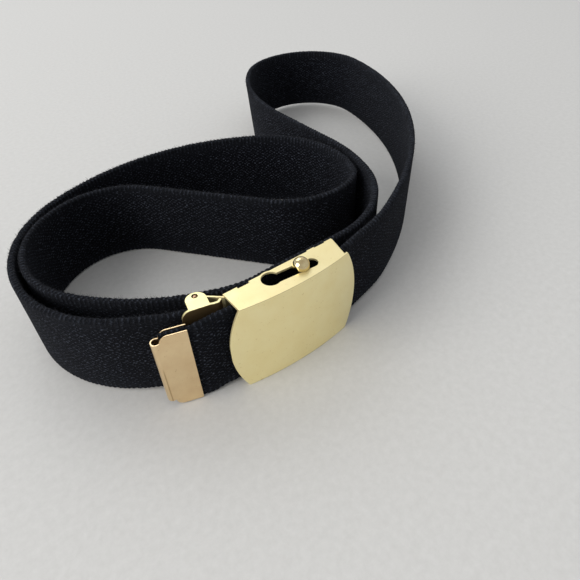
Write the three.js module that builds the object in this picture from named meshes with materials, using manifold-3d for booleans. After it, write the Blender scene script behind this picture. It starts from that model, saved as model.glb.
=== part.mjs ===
// A fastened canvas web belt standing on the lower edge of its web, in millimetres, +Z up.
// The buckle's face plate looks along -Y, and its front face has its middle at x = 0, y = 0 until
// the whole group is moved so that the middle of its underside is the origin.
// The web is one length. It starts in the clamp at the buckle's left end, runs round the near loop
// twice, turns back between the two rounds, goes out round the far loop, and comes back through
// the buckle to the metal tip.
import * as THREE from "three";
import { mergeVertices } from "three/addons/utils/BufferGeometryUtils.js";
import Module from "manifold-3d";

// Webbing
const WEB_WIDTH = 32;
const WEB_THICKNESS = 2.7;
const WEB_EDGE_BEVEL = 0.5;
const PRESSED_THICKNESS = 1.5;
const PRESS_RUN = 3;
const LIFT_RUN = 55;

// Clearances
const PIECE_GAP = 0.3;
const WEB_SIDE_GAP = 0.45;

// Buckle frame
const SHEET = 0.8;
const PLATE_LENGTH = 42;
const PLATE_BOW = 1.9;
const PLATE_SIDE_BULGE = 4.4;
const FLANGE_DEPTH = 11.2;
const TAB_STEP = 0.4;
const BACK_WALL_LENGTH = 5;
const RIGHT_END_CANT = 2;

// Pinch bar and its slots
const BAR_RADIUS = 1.8;
const BAR_OFFSET = 4.9;
const BAR_BALL_RADIUS = 2.85;
const BAR_BALL_RISE = 0.4;
const SLOT_SLOPE = 5;
const SLOT_FRONT_RUN = 4;
const SLOT_BACK_RUN = 10.6;
const SLOT_LOBE_RADIUS = 3.2;
const SLOT_LIP = 0.8;

// Clamp at the fixed end
const CLAMP_TILT = 13;
const CLAMP_STAND_OFF = 4.5;
const CLAMP_GRIP = 6.5;
const CLAMP_MOUTH = 2.5;
const CLAMP_CORNER = 3;
const CLAMP_REST_GAP = 1.25;
const EAR_ROUND = 3.1;
const PIN_RADIUS = 0.7;
const KNUCKLE_WALL = 0.6;
const PIN_SETBACK = 3.2;

// Metal tip
const TIP_LENGTH = 8.6;
const TIP_SHEET = 0.5;
const TIP_FOLD_RADIUS = 1.7;
const TIP_HEIGHT = 31.4;
const TIP_NOTCH = 2.6;
const TIP_DROP_RUN = 12;

// How the web leaves the buckle on both sides
const ENTRY_SLOPE = 13.5;
const ENTRY_RUN = 36;
const ENTRY_BEND_RADIUS = 60;
const EXIT_SLOPE = 8.3;
const EXIT_RUN = 34.9;
const TIP_TURN = 9.2;
const TIP_BEND_RADIUS = 30;

// How the web lies in the near loop
const LEFT_REACH = 70.3;
const OUTER_BEND_RADIUS = 48;
const OUTER_BEND_RISE = 1.8;
const CLAMP_BEND_RADIUS = 25;
const BACK_BEND_RADIUS = 90;
const INNER_BEND_RADIUS = 35;
const NEST_DIRECTION = 152;
const NEST_GAP = 0.5;
const NESTED_TOP_RADIUS = 28;
const NESTED_TOP_HEADING = 200;
const INNER_FRONT_RADIUS = 90;
const BUCKLE_PASS_RADIUS = 30;
const PASS_GAP = 0.4;
const TURN_UPPER_RADIUS = 40;
const TURN_CORNER_RADIUS = 18;
const TURN_CORNER_START = -112;
const TURN_CORNER_END = -165;
const TURN_LOWER_RADIUS = 30;
const TURN_NEST_DIRECTION = -10.8;
const TURN_GAP = 0.5;
const BACK_FOOT_LEAN = 4;

// How the web lies in the far loop
const NEAR_STRAND_BEND_RADIUS = 43;
const NEAR_STRAND_BEND_X = 26.2;
const NEAR_STRAND_SWEEP_RADIUS = 80;
const NEAR_STRAND_SWEEP_HEADING = 66.4;
const FAR_SHOULDER_RADIUS = 88;
const FAR_BEND_X = 120.5;
const FAR_BEND_Y = 148.5;
const FAR_BEND_RADIUS = 30.5;
const FAR_SIDE_RADIUS = 175;
const FAR_TOP_LEAN = 3;

// Facets
const ARC_STEP = 4;
const ARC_STEP_ANGLE = 7;
const STRAIGHT_STEP = 8;
const ROUND_SIDES = 24;

// Steps in the back edge of a flange: each row runs between two shares of half the plate's length
const BACK_EDGE_STEPS = [
  { from: 1.04, to: 0.89, out: TAB_STEP },
  { from: 0.69, to: 0.54, out: TAB_STEP },
  { from: -0.56, to: -0.76, out: -2 * TAB_STEP },
];

const LEFT = 1;
const RIGHT = -1;
const HALF_WEB = WEB_THICKNESS / 2;
const HALF_PLATE = PLATE_LENGTH / 2;
const BUCKLE_HEIGHT = WEB_WIDTH + 2 * (SHEET + WEB_SIDE_GAP);
const WEB_LIFT = SHEET + WEB_SIDE_GAP;
const KNUCKLE_RADIUS = PIN_RADIUS + PIECE_GAP + KNUCKLE_WALL;
const SLOT_HALF_WIDTH = BAR_RADIUS + PIECE_GAP;
const BOW_RADIUS = (HALF_PLATE ** 2 + PLATE_BOW ** 2) / (2 * PLATE_BOW);

const wasm = await Module();
wasm.setup();

const radians = THREE.MathUtils.degToRad;
const along = (heading) => new THREE.Vector2(Math.cos(heading), Math.sin(heading));
const leftOf = (heading) => new THREE.Vector2(-Math.sin(heading), Math.cos(heading));
const moved = (point, direction, distance) => point.clone().addScaledVector(direction, distance);

// Solids: closed geometry to and from the boolean library

function toSolid(geometry) {
  const bare = geometry.clone();
  bare.deleteAttribute("normal");
  bare.deleteAttribute("uv");
  const merged = mergeVertices(bare, 1e-4);
  const mesh = new wasm.Mesh({
    numProp: 3,
    vertProperties: new Float32Array(merged.attributes.position.array),
    triVerts: new Uint32Array(merged.index.array),
  });
  return new wasm.Manifold(mesh);
}

function toGeometry(solid) {
  const mesh = solid.getMesh();
  const geometry = new THREE.BufferGeometry();
  geometry.setAttribute("position", new THREE.BufferAttribute(mesh.vertProperties, 3));
  geometry.setIndex(new THREE.BufferAttribute(mesh.triVerts, 1));
  geometry.computeVertexNormals();
  return geometry;
}

// A plan outline raised from one height to another
function raised(shape, low, high) {
  const geometry = new THREE.ExtrudeGeometry(shape, {
    depth: high - low,
    bevelEnabled: false,
    curveSegments: ROUND_SIDES / 2,
  });
  return toSolid(geometry.translate(0, 0, low));
}

// A front-view outline in x and z, cut through from the front to the back
function cutThrough(shape, front, back) {
  const geometry = new THREE.ExtrudeGeometry(shape, {
    depth: back - front,
    bevelEnabled: false,
    curveSegments: ROUND_SIDES / 2,
  });
  return toSolid(geometry.rotateX(Math.PI / 2).translate(0, back, 0));
}

// The plan outline of a bent sheet that follows a line of points
function sheetOutline(line, thickness) {
  const sides = [[], []];
  line.forEach((point, i) => {
    const before = line[Math.max(i - 1, 0)];
    const after = line[Math.min(i + 1, line.length - 1)];
    const arriving = i > 0 ? point.clone().sub(before).angle() : after.clone().sub(point).angle();
    const leaving = i < line.length - 1 ? after.clone().sub(point).angle() : arriving;
    const turn = Math.atan2(Math.sin(leaving - arriving), Math.cos(leaving - arriving));
    const reach = thickness / 2 / Math.cos(turn / 2);
    const across = leftOf(arriving + turn / 2);
    sides[0].push(moved(point, across, reach));
    sides[1].push(moved(point, across, -reach));
  });
  return new THREE.Shape([...sides[1], ...sides[0].reverse()]);
}

function disc(x, y, radius) {
  return new THREE.Shape().absarc(x, y, radius, 0, 2 * Math.PI, false);
}

function arcPoints(centre, radius, start, end, steps) {
  const points = [];
  for (let i = 0; i <= steps; i += 1) {
    points.push(moved(centre, along(start + ((end - start) * i) / steps), radius));
  }
  return points;
}

// Places in the buckle that the web's route is worked out from

const bowDepth = (x) => BOW_RADIUS - Math.sqrt(BOW_RADIUS ** 2 - x ** 2);

const bar = new THREE.Vector2(
  BAR_OFFSET,
  bowDepth(BAR_OFFSET) + SHEET + 2 * PIECE_GAP + WEB_THICKNESS + BAR_RADIUS,
);
const barBendRadius = BAR_RADIUS + PIECE_GAP + HALF_WEB;
const entryHeading = radians(-180 + ENTRY_SLOPE);
const exitHeading = radians(180 - EXIT_SLOPE);
const clampHeading = radians(180 - CLAMP_TILT);
const tipHeading = exitHeading - radians(TIP_TURN);
const barEntry = moved(bar, leftOf(entryHeading), barBendRadius);
const barExit = moved(bar, leftOf(exitHeading), barBendRadius);

const fixedEndX = -HALF_PLATE - CLAMP_STAND_OFF;
const exitAtFixedEnd = barExit.y + (barExit.x - fixedEndX) * Math.tan(radians(EXIT_SLOPE));
const fixedEnd = new THREE.Vector2(
  fixedEndX,
  exitAtFixedEnd + WEB_THICKNESS + CLAMP_REST_GAP + SHEET + PIECE_GAP,
);
const clampMouth = moved(fixedEnd, along(clampHeading), CLAMP_GRIP);
const pinOffset = HALF_WEB + PIECE_GAP + KNUCKLE_RADIUS;
const pin = moved(moved(fixedEnd, along(clampHeading), PIN_SETBACK), leftOf(clampHeading), -pinOffset);

const tipBendStart = moved(barExit, along(exitHeading), EXIT_RUN);
const tipBendCentre = moved(tipBendStart, leftOf(exitHeading), -TIP_BEND_RADIUS);
const tipBendEnd = moved(tipBendCentre, leftOf(tipHeading), TIP_BEND_RADIUS);
const freeEnd = moved(tipBendEnd, along(tipHeading), TIP_LENGTH);

// The web's route: it bends round one circle after another, like a belt round pulleys, with a
// straight run between two circles wherever they don't touch. Each circle has a side, LEFT where
// the web turns left round it.

function fold(centre, radius, side) {
  return { centre, radius, side };
}

// A fold that takes over from a neighbour on the same side at a given heading
function joined(neighbour, radius, heading) {
  const shift = neighbour.side * (radius - neighbour.radius);
  return fold(moved(neighbour.centre, leftOf(heading), shift), radius, neighbour.side);
}

// The point at given distances from two others, on the given side of the line from a to b
function meetingPoint(a, reachA, b, reachB, side) {
  const span = b.clone().sub(a);
  const foot = (reachA ** 2 - reachB ** 2 + span.lengthSq()) / (2 * span.length());
  const height = Math.sqrt(reachA ** 2 - foot ** 2);
  const heading = span.angle();
  return moved(moved(a, along(heading), foot), leftOf(heading), side * height);
}

// A wide fold that takes over from one fold and hands over to another, all three on one side
function bridged(before, after, radius) {
  const reachBefore = radius - before.radius;
  const reachAfter = radius - after.radius;
  const centre = meetingPoint(before.centre, reachBefore, after.centre, reachAfter, before.side);
  return fold(centre, radius, before.side);
}

const outerBend = fold(
  new THREE.Vector2(
    -LEFT_REACH + HALF_WEB + OUTER_BEND_RADIUS,
    fixedEnd.y + OUTER_BEND_RADIUS + OUTER_BEND_RISE,
  ),
  OUTER_BEND_RADIUS,
  RIGHT,
);
const clampBend = fold(
  moved(clampMouth, leftOf(clampHeading), -CLAMP_BEND_RADIUS),
  CLAMP_BEND_RADIUS,
  RIGHT,
);

const innerBend = fold(
  moved(
    outerBend.centre,
    along(radians(NEST_DIRECTION)),
    OUTER_BEND_RADIUS - INNER_BEND_RADIUS - WEB_THICKNESS - NEST_GAP,
  ),
  INNER_BEND_RADIUS,
  LEFT,
);
const nestedTop = joined(innerBend, NESTED_TOP_RADIUS, radians(NESTED_TOP_HEADING));

const pinClearance = KNUCKLE_RADIUS + PASS_GAP + HALF_WEB;
const innerFront = fold(
  meetingPoint(
    innerBend.centre,
    INNER_FRONT_RADIUS - INNER_BEND_RADIUS,
    pin,
    INNER_FRONT_RADIUS + pinClearance,
    LEFT,
  ),
  INNER_FRONT_RADIUS,
  LEFT,
);
const passY = FLANGE_DEPTH + TAB_STEP + PIECE_GAP + HALF_WEB;
const passRise = innerFront.centre.y - passY - BUCKLE_PASS_RADIUS;
const passShift = Math.sqrt((INNER_FRONT_RADIUS - BUCKLE_PASS_RADIUS) ** 2 - passRise ** 2);
const bucklePass = fold(
  new THREE.Vector2(innerFront.centre.x - passShift, passY + BUCKLE_PASS_RADIUS),
  BUCKLE_PASS_RADIUS,
  LEFT,
);

const nearStrandBend = fold(
  new THREE.Vector2(NEAR_STRAND_BEND_X, passY + NEAR_STRAND_BEND_RADIUS),
  NEAR_STRAND_BEND_RADIUS,
  LEFT,
);
const nearStrandSweep = joined(
  nearStrandBend,
  NEAR_STRAND_SWEEP_RADIUS,
  radians(NEAR_STRAND_SWEEP_HEADING),
);
const nearStrandX = nearStrandSweep.centre.x + NEAR_STRAND_SWEEP_RADIUS;

const turnUpper = fold(
  moved(
    nearStrandSweep.centre,
    along(radians(TURN_NEST_DIRECTION)),
    NEAR_STRAND_SWEEP_RADIUS - TURN_UPPER_RADIUS - WEB_THICKNESS - TURN_GAP,
  ),
  TURN_UPPER_RADIUS,
  RIGHT,
);
const turnCorner = joined(turnUpper, TURN_CORNER_RADIUS, radians(TURN_CORNER_START));
const turnLower = joined(turnCorner, TURN_LOWER_RADIUS, radians(TURN_CORNER_END));
const backBend = bridged(outerBend, turnUpper, BACK_BEND_RADIUS);

const farBend = fold(new THREE.Vector2(FAR_BEND_X, FAR_BEND_Y), FAR_BEND_RADIUS, RIGHT);
const shoulderX = nearStrandX + FAR_SHOULDER_RADIUS;
const shoulderDrop = Math.sqrt(
  (FAR_SHOULDER_RADIUS - FAR_BEND_RADIUS) ** 2 - (shoulderX - FAR_BEND_X) ** 2,
);
const farShoulder = fold(
  new THREE.Vector2(shoulderX, FAR_BEND_Y - shoulderDrop),
  FAR_SHOULDER_RADIUS,
  RIGHT,
);
const entryBend = fold(
  moved(
    moved(barEntry, along(entryHeading), -ENTRY_RUN),
    leftOf(entryHeading),
    -ENTRY_BEND_RADIUS,
  ),
  ENTRY_BEND_RADIUS,
  RIGHT,
);
const farSide = bridged(farBend, entryBend, FAR_SIDE_RADIUS);

const folds = [
  fold(fixedEnd, 0, RIGHT),
  clampBend,
  outerBend,
  backBend,
  turnUpper,
  turnCorner,
  turnLower,
  nestedTop,
  innerBend,
  innerFront,
  bucklePass,
  nearStrandBend,
  nearStrandSweep,
  farShoulder,
  farBend,
  farSide,
  entryBend,
  fold(bar, barBendRadius, RIGHT),
  fold(tipBendCentre, TIP_BEND_RADIUS, RIGHT),
  fold(freeEnd, 0, RIGHT),
];

// Where the web isn't quite upright: each row runs from one fold to a later one, with how far the
// upper and the lower edge lie out to the left of the route
const leans = [
  { rises: backBend, falls: turnUpper, top: 0, foot: -BACK_FOOT_LEAN },
  { rises: farShoulder, falls: farSide, top: FAR_TOP_LEAN, foot: 0 },
];

// The heading of the straight run from one fold to the next. The share reaches 1 where two folds
// touch and there is no straight run, and rounding may carry it a little further.
function runHeading(from, to) {
  const span = to.centre.clone().sub(from.centre);
  const offset = to.side * to.radius - from.side * from.radius;
  const share = THREE.MathUtils.clamp(offset / span.length(), -1, 1);
  return span.angle() - Math.asin(share);
}

const touchPoint = (at, heading) => moved(at.centre, leftOf(heading), -at.side * at.radius);

// The route as stations, each a point with the heading of the web there
function routeStations() {
  const stations = [];
  for (let i = 0; i < folds.length - 1; i += 1) {
    const heading = runHeading(folds[i], folds[i + 1]);
    const start = touchPoint(folds[i], heading);
    const end = touchPoint(folds[i + 1], heading);
    const length = start.distanceTo(end);
    const steps = Math.max(1, Math.ceil(length / STRAIGHT_STEP));
    for (let k = 0; k <= steps; k += 1) {
      stations.push({ point: start.clone().lerp(end, k / steps), heading });
    }
    if (i + 2 < folds.length) {
      const bend = folds[i + 1];
      stations.push(...bendStations(bend, heading, runHeading(bend, folds[i + 2])));
    }
  }
  return withoutRepeats(stations);
}

// The stations inside one bend, without its two ends
function bendStations(at, arriving, leaving) {
  const fullTurn = 2 * Math.PI;
  let turn = (at.side * (leaving - arriving)) % fullTurn;
  turn += turn < 0 ? fullTurn : 0;
  if (turn > 1.9 * Math.PI) {
    return [];
  }
  const steps = Math.ceil(Math.max((turn * at.radius) / ARC_STEP, turn / radians(ARC_STEP_ANGLE)));
  const stations = [];
  for (let k = 1; k < steps; k += 1) {
    const heading = arriving + (at.side * turn * k) / steps;
    stations.push({ point: touchPoint(at, heading), heading, bend: at });
  }
  return stations;
}

// Stations closer than half a millimetre to the one before are left out, and distances are added
function withoutRepeats(stations) {
  const kept = [{ ...stations[0], distance: 0 }];
  stations.slice(1).forEach((station) => {
    const last = kept[kept.length - 1];
    const step = last.point.distanceTo(station.point);
    if (step > 0.5) {
      kept.push({ ...station, distance: last.distance + step });
    }
  });
  return kept;
}

// Webbing: an eight-sided section swept along the route. It stands on its lower edge, rises to
// clear the lower flange and ear where metal holds it, and is pressed thin in the tip, which hangs
// down to the same level as the loops. It leans outwards at the back and round the far loop.
function webbingGeometry() {
  const stations = routeStations();
  const length = stations[stations.length - 1].distance;
  const exitLength = length - barToEnd(stations);
  const positions = [];
  const index = [];
  stations.forEach(({ point, heading, distance }) => {
    const leaving = 1 - THREE.MathUtils.smoothstep(distance, CLAMP_GRIP, CLAMP_GRIP + LIFT_RUN);
    const entering = THREE.MathUtils.smoothstep(distance, exitLength - LIFT_RUN, exitLength);
    const inTip = length - TIP_LENGTH;
    const dropped = THREE.MathUtils.smoothstep(distance, inTip - TIP_DROP_RUN, inTip);
    const low = WEB_LIFT * Math.max(leaving, entering - dropped);
    const pressed = THREE.MathUtils.smoothstep(distance, inTip - PRESS_RUN, inTip);
    const half = THREE.MathUtils.lerp(HALF_WEB, PRESSED_THICKNESS / 2, pressed);
    const bevel = Math.min(WEB_EDGE_BEVEL, half / 2);
    const lean = leanAt(stations, distance);
    const across = leftOf(heading);
    sectionCorners(half, bevel).forEach(([offset, height]) => {
      const aside = THREE.MathUtils.lerp(lean.foot, lean.top, height / WEB_WIDTH);
      const corner = moved(point, across, offset + aside);
      positions.push(corner.x, corner.y, low + height);
    });
  });
  const sides = 8;
  const rings = stations.length;
  for (let ring = 0; ring < rings - 1; ring += 1) {
    for (let side = 0; side < sides; side += 1) {
      const next = (side + 1) % sides;
      const a = ring * sides + side;
      const b = ring * sides + next;
      index.push(a, b, a + sides, b, b + sides, a + sides);
    }
  }
  for (let side = 1; side < sides - 1; side += 1) {
    const last = (rings - 1) * sides;
    index.push(0, side + 1, side);
    index.push(last, last + side, last + side + 1);
  }
  const geometry = new THREE.BufferGeometry();
  geometry.setAttribute("position", new THREE.Float32BufferAttribute(positions, 3));
  geometry.setIndex(index);
  geometry.computeVertexNormals();
  return geometry;
}

// The corners of the web's section: the distance to the left of the route, and the height
function sectionCorners(half, bevel) {
  const top = WEB_WIDTH;
  return [
    [half, bevel],
    [half, top - bevel],
    [half - bevel, top],
    [-half + bevel, top],
    [-half, top - bevel],
    [-half, bevel],
    [-half + bevel, 0],
    [half - bevel, 0],
  ];
}

// How far the upper and the lower edge lie to the left of the route at a distance along the web
function leanAt(stations, distance) {
  const lean = { top: 0, foot: 0 };
  leans.forEach(({ rises, falls, top, foot }) => {
    const share = shareOfBend(stations, rises, distance) - shareOfBend(stations, falls, distance);
    lean.top += share * top;
    lean.foot += share * foot;
  });
  return lean;
}

// A share that goes smoothly from 0 where a bend starts to 1 where it ends
function shareOfBend(stations, bend, distance) {
  const inside = stations.filter((station) => station.bend === bend);
  const last = inside[inside.length - 1];
  return THREE.MathUtils.smoothstep(distance, inside[0].distance, last.distance);
}

// The length of web from the buckle's right end to the free end
function barToEnd(stations) {
  const last = stations[stations.length - 1];
  const inside = stations.filter(
    (station) => station.point.x < HALF_PLATE + WEB_THICKNESS && station.distance > last.distance / 2,
  );
  return last.distance - inside[0].distance;
}

// Buckle frame

function plateSolid() {
  const reach = HALF_PLATE + PLATE_SIDE_BULGE;
  const half = Math.asin(reach / BOW_RADIUS);
  const centre = new THREE.Vector2(0, BOW_RADIUS);
  const down = radians(-90);
  const front = arcPoints(centre, BOW_RADIUS, down - half, down + half, ROUND_SIDES);
  const back = arcPoints(centre, BOW_RADIUS - SHEET, down + half, down - half, ROUND_SIDES);
  const band = raised(new THREE.Shape([...front, ...back]), 0, BUCKLE_HEIGHT);
  return band.intersect(cutThrough(plateOutline(), -SHEET, BOW_RADIUS));
}

// The face plate seen from the front, with bulging ends
function plateOutline() {
  const halfHeight = BUCKLE_HEIGHT / 2;
  const radius = (halfHeight ** 2 + PLATE_SIDE_BULGE ** 2) / (2 * PLATE_SIDE_BULGE);
  const half = Math.asin(halfHeight / radius);
  const inset = HALF_PLATE + PLATE_SIDE_BULGE - radius;
  const right = new THREE.Vector2(inset, halfHeight);
  const left = new THREE.Vector2(-inset, halfHeight);
  return new THREE.Shape([
    ...arcPoints(right, radius, -half, half, ROUND_SIDES),
    ...arcPoints(left, radius, Math.PI - half, Math.PI + half, ROUND_SIDES),
  ]);
}

// A flange seen from above. Its right end is canted outwards towards the back.
function flangeShape() {
  const shape = new THREE.Shape();
  const steps = ROUND_SIDES;
  const frontLength = PLATE_LENGTH - RIGHT_END_CANT / 2;
  for (let i = 0; i <= steps; i += 1) {
    const x = -HALF_PLATE + (frontLength * i) / steps;
    const y = bowDepth(x) + SHEET / 2;
    if (i === 0) {
      shape.moveTo(x, y);
    } else {
      shape.lineTo(x, y);
    }
  }
  shape.lineTo(HALF_PLATE + RIGHT_END_CANT / 2, FLANGE_DEPTH);
  BACK_EDGE_STEPS.forEach(({ from, to, out }) => {
    shape.lineTo(from * HALF_PLATE, FLANGE_DEPTH);
    shape.lineTo(from * HALF_PLATE, FLANGE_DEPTH + out);
    shape.lineTo(to * HALF_PLATE, FLANGE_DEPTH + out);
    shape.lineTo(to * HALF_PLATE, FLANGE_DEPTH);
  });
  shape.lineTo(-HALF_PLATE, FLANGE_DEPTH);
  return shape;
}

const slotDirection = along(radians(180 - SLOT_SLOPE));
const slotFront = moved(bar, slotDirection, -SLOT_FRONT_RUN);
const slotBack = moved(bar, slotDirection, SLOT_BACK_RUN);
const slotLobe = new THREE.Vector2(
  slotBack.x,
  FLANGE_DEPTH + TAB_STEP - SLOT_LIP - SLOT_LOBE_RADIUS,
);

// A slot with round ends for the bar, and a wide lobe at its left end, where the bar is loose
function slotSolid(low, high) {
  const channel = sheetOutline([slotFront, slotBack], 2 * SLOT_HALF_WIDTH);
  return raised(channel, low, high)
    .add(raised(disc(slotFront.x, slotFront.y, SLOT_HALF_WIDTH), low, high))
    .add(raised(disc(slotBack.x, slotBack.y, SLOT_HALF_WIDTH), low, high))
    .add(raised(disc(slotLobe.x, slotLobe.y, SLOT_LOBE_RADIUS), low, high));
}

function flangeSolid(low) {
  const high = low + SHEET;
  const lip = disc(slotLobe.x, slotLobe.y, SLOT_LOBE_RADIUS + SLOT_LIP);
  return raised(flangeShape(), low, high)
    .add(raised(lip, low, high))
    .subtract(slotSolid(low - SHEET, high + SHEET));
}

// The strap behind the fixed end, with a knuckle round the clamp's pin
function hingeStrapSolid() {
  const wallY = FLANGE_DEPTH - SHEET / 2;
  const corner = new THREE.Vector2(-HALF_PLATE + SHEET / 2, wallY);
  const wallEnd = new THREE.Vector2(-HALF_PLATE + BACK_WALL_LENGTH, wallY);
  const onKnuckle = moved(pin, along(radians(50)), KNUCKLE_RADIUS - KNUCKLE_WALL / 2);
  const low = SHEET + PIECE_GAP;
  const high = BUCKLE_HEIGHT - SHEET - PIECE_GAP;
  const wall = raised(sheetOutline([corner, wallEnd], SHEET), 0, BUCKLE_HEIGHT);
  const strap = raised(sheetOutline([wallEnd, corner, onKnuckle], SHEET), low, high);
  const knuckle = raised(disc(pin.x, pin.y, KNUCKLE_RADIUS), low, high);
  const hole = raised(disc(pin.x, pin.y, PIN_RADIUS + PIECE_GAP), 0, BUCKLE_HEIGHT);
  return wall.add(strap).add(knuckle).subtract(hole);
}

function buckleFrameGeometry() {
  const frame = plateSolid()
    .add(flangeSolid(0))
    .add(flangeSolid(BUCKLE_HEIGHT - SHEET))
    .add(hingeStrapSolid());
  return toGeometry(frame);
}

// Pinch bar: a round bar through both slots, with a ball over the upper flange and a flat lower end
// level with the frame's underside
function pinchBarGeometry() {
  const ballCentre = BUCKLE_HEIGHT + PIECE_GAP + BAR_BALL_RISE - BUCKLE_HEIGHT / 2;
  const neck = BUCKLE_HEIGHT / 2 + PIECE_GAP;
  const neckAngle = Math.asin((ballCentre - neck) / BAR_BALL_RADIUS);
  const topBall = arcPoints(
    new THREE.Vector2(0, ballCentre),
    BAR_BALL_RADIUS,
    -neckAngle,
    Math.PI / 2,
    ROUND_SIDES / 3,
  );
  const profile = [
    new THREE.Vector2(0, -BUCKLE_HEIGHT / 2),
    new THREE.Vector2(BAR_RADIUS, -BUCKLE_HEIGHT / 2),
    new THREE.Vector2(BAR_RADIUS, neck),
    ...topBall,
  ];
  profile[profile.length - 1].x = 0;
  return new THREE.LatheGeometry(profile, ROUND_SIDES).rotateX(Math.PI / 2);
}

// Clamp, in a frame of its own: x runs along the web towards the buckle from the web's fixed end,
// and y runs to the back

function clampJawSolid() {
  const front = -HALF_WEB - PIECE_GAP - SHEET / 2;
  const left = -CLAMP_GRIP - CLAMP_MOUTH;
  const heelEnd = (CLAMP_STAND_OFF - PIECE_GAP - SHEET) / Math.cos(radians(CLAMP_TILT));
  const line = [
    new THREE.Vector2(left, front),
    new THREE.Vector2(0, front),
    new THREE.Vector2(0.3 * heelEnd, front - 0.3 * SHEET),
    new THREE.Vector2(0.7 * heelEnd, front - 0.3 * SHEET),
    new THREE.Vector2(heelEnd, front + SHEET),
  ];
  const outline = new THREE.Shape();
  const cornerX = left + CLAMP_CORNER;
  const cornerTop = BUCKLE_HEIGHT - CLAMP_CORNER;
  outline.moveTo(heelEnd + SHEET, 0);
  outline.lineTo(heelEnd + SHEET, BUCKLE_HEIGHT);
  outline.lineTo(cornerX, BUCKLE_HEIGHT);
  outline.absarc(cornerX, cornerTop, CLAMP_CORNER, Math.PI / 2, Math.PI, false);
  outline.absarc(cornerX, CLAMP_CORNER, CLAMP_CORNER, Math.PI, 1.5 * Math.PI, false);
  const sheet = raised(sheetOutline(line, SHEET), 0, BUCKLE_HEIGHT);
  return sheet.intersect(cutThrough(outline, front - 2 * SHEET, front + 3 * SHEET));
}

function clampEarSolid(low) {
  const front = -HALF_WEB - PIECE_GAP - SHEET / 2;
  const middle = -CLAMP_GRIP / 2;
  const roundStart = pinOffset + KNUCKLE_RADIUS - EAR_ROUND;
  const shape = new THREE.Shape();
  shape.moveTo(-CLAMP_GRIP, front);
  shape.lineTo(0, front);
  shape.lineTo(0, roundStart);
  shape.absellipse(middle, roundStart, CLAMP_GRIP / 2, EAR_ROUND, 0, Math.PI, false, 0);
  const high = low + SHEET;
  const hole = raised(disc(-PIN_SETBACK, pinOffset, PIN_RADIUS + PIECE_GAP), low - SHEET, high + SHEET);
  return raised(shape, low, high).subtract(hole);
}

function clampGeometry() {
  const clamp = clampJawSolid()
    .add(clampEarSolid(0))
    .add(clampEarSolid(BUCKLE_HEIGHT - SHEET));
  return toGeometry(clamp);
}

function pinGeometry() {
  return new THREE.CylinderGeometry(PIN_RADIUS, PIN_RADIUS, BUCKLE_HEIGHT, ROUND_SIDES / 2).rotateX(
    Math.PI / 2,
  );
}

// Metal tip, in a frame of its own: x runs from the web's free end back along the web. The sheet
// lies on both faces of the web and is folded round in an open bead at the free end.
function tipGeometry() {
  const plateY = PRESSED_THICKNESS / 2 + PIECE_GAP + TIP_SHEET / 2;
  const beadX = -PIECE_GAP - TIP_FOLD_RADIUS;
  const beadRadius = TIP_FOLD_RADIUS - TIP_SHEET / 2;
  const throat = Math.asin(plateY / beadRadius);
  const bead = arcPoints(
    new THREE.Vector2(beadX + beadRadius * (1 - Math.cos(throat)), 0),
    beadRadius,
    throat,
    2 * Math.PI - throat,
    ROUND_SIDES / 2,
  );
  const line = [
    new THREE.Vector2(TIP_LENGTH - PIECE_GAP, plateY),
    ...bead,
    new THREE.Vector2(TIP_LENGTH - PIECE_GAP, -plateY),
  ];
  const sheet = raised(sheetOutline(line, TIP_SHEET), 0, TIP_HEIGHT);
  return toGeometry(sheet.intersect(cutThrough(tipOutline(), -2 * TIP_FOLD_RADIUS, 2 * TIP_FOLD_RADIUS)));
}

// The tip seen from the front: its corners are rounded off where the sheet goes into the bead
function tipOutline() {
  const left = -PIECE_GAP - 3 * TIP_FOLD_RADIUS;
  const right = TIP_LENGTH;
  const roundX = TIP_NOTCH - PIECE_GAP;
  const outline = new THREE.Shape();
  outline.moveTo(left, TIP_HEIGHT - TIP_NOTCH);
  outline.lineTo(left, TIP_NOTCH);
  outline.absarc(roundX, TIP_NOTCH, TIP_NOTCH, Math.PI, 1.5 * Math.PI, false);
  outline.lineTo(right, 0);
  outline.lineTo(right, TIP_HEIGHT);
  outline.absarc(roundX, TIP_HEIGHT - TIP_NOTCH, TIP_NOTCH, Math.PI / 2, Math.PI, false);
  return outline;
}

function named(name, geometry, material) {
  const mesh = new THREE.Mesh(geometry, material);
  mesh.name = name;
  return mesh;
}

const blackCanvas = new THREE.MeshStandardMaterial({ color: 0x1b1c20, roughness: 0.95, metalness: 0 });
const plateBrass = new THREE.MeshStandardMaterial({ color: 0xd0bb7c, roughness: 0.3, metalness: 1 });
const barBrass = new THREE.MeshStandardMaterial({ color: 0xd8c68c, roughness: 0.25, metalness: 1 });
const clampBrass = new THREE.MeshStandardMaterial({ color: 0xcdb878, roughness: 0.3, metalness: 1 });
const pinBrass = new THREE.MeshStandardMaterial({ color: 0xb39a5e, roughness: 0.35, metalness: 1 });
const tipBrass = new THREE.MeshStandardMaterial({ color: 0xc3a672, roughness: 0.35, metalness: 1 });

const belt = new THREE.Group();
belt.add(named("webbing", webbingGeometry(), blackCanvas));
belt.add(named("buckle_frame", buckleFrameGeometry(), plateBrass));

const pinchBar = named("pinch_bar", pinchBarGeometry(), barBrass);
pinchBar.position.set(bar.x, bar.y, BUCKLE_HEIGHT / 2);
belt.add(pinchBar);

const clamp = named("web_clamp", clampGeometry(), clampBrass);
clamp.position.set(fixedEnd.x, fixedEnd.y, 0);
clamp.rotation.z = -radians(CLAMP_TILT);
belt.add(clamp);

const clampPin = named("clamp_pin", pinGeometry(), pinBrass);
clampPin.position.set(pin.x, pin.y, BUCKLE_HEIGHT / 2);
belt.add(clampPin);

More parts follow.
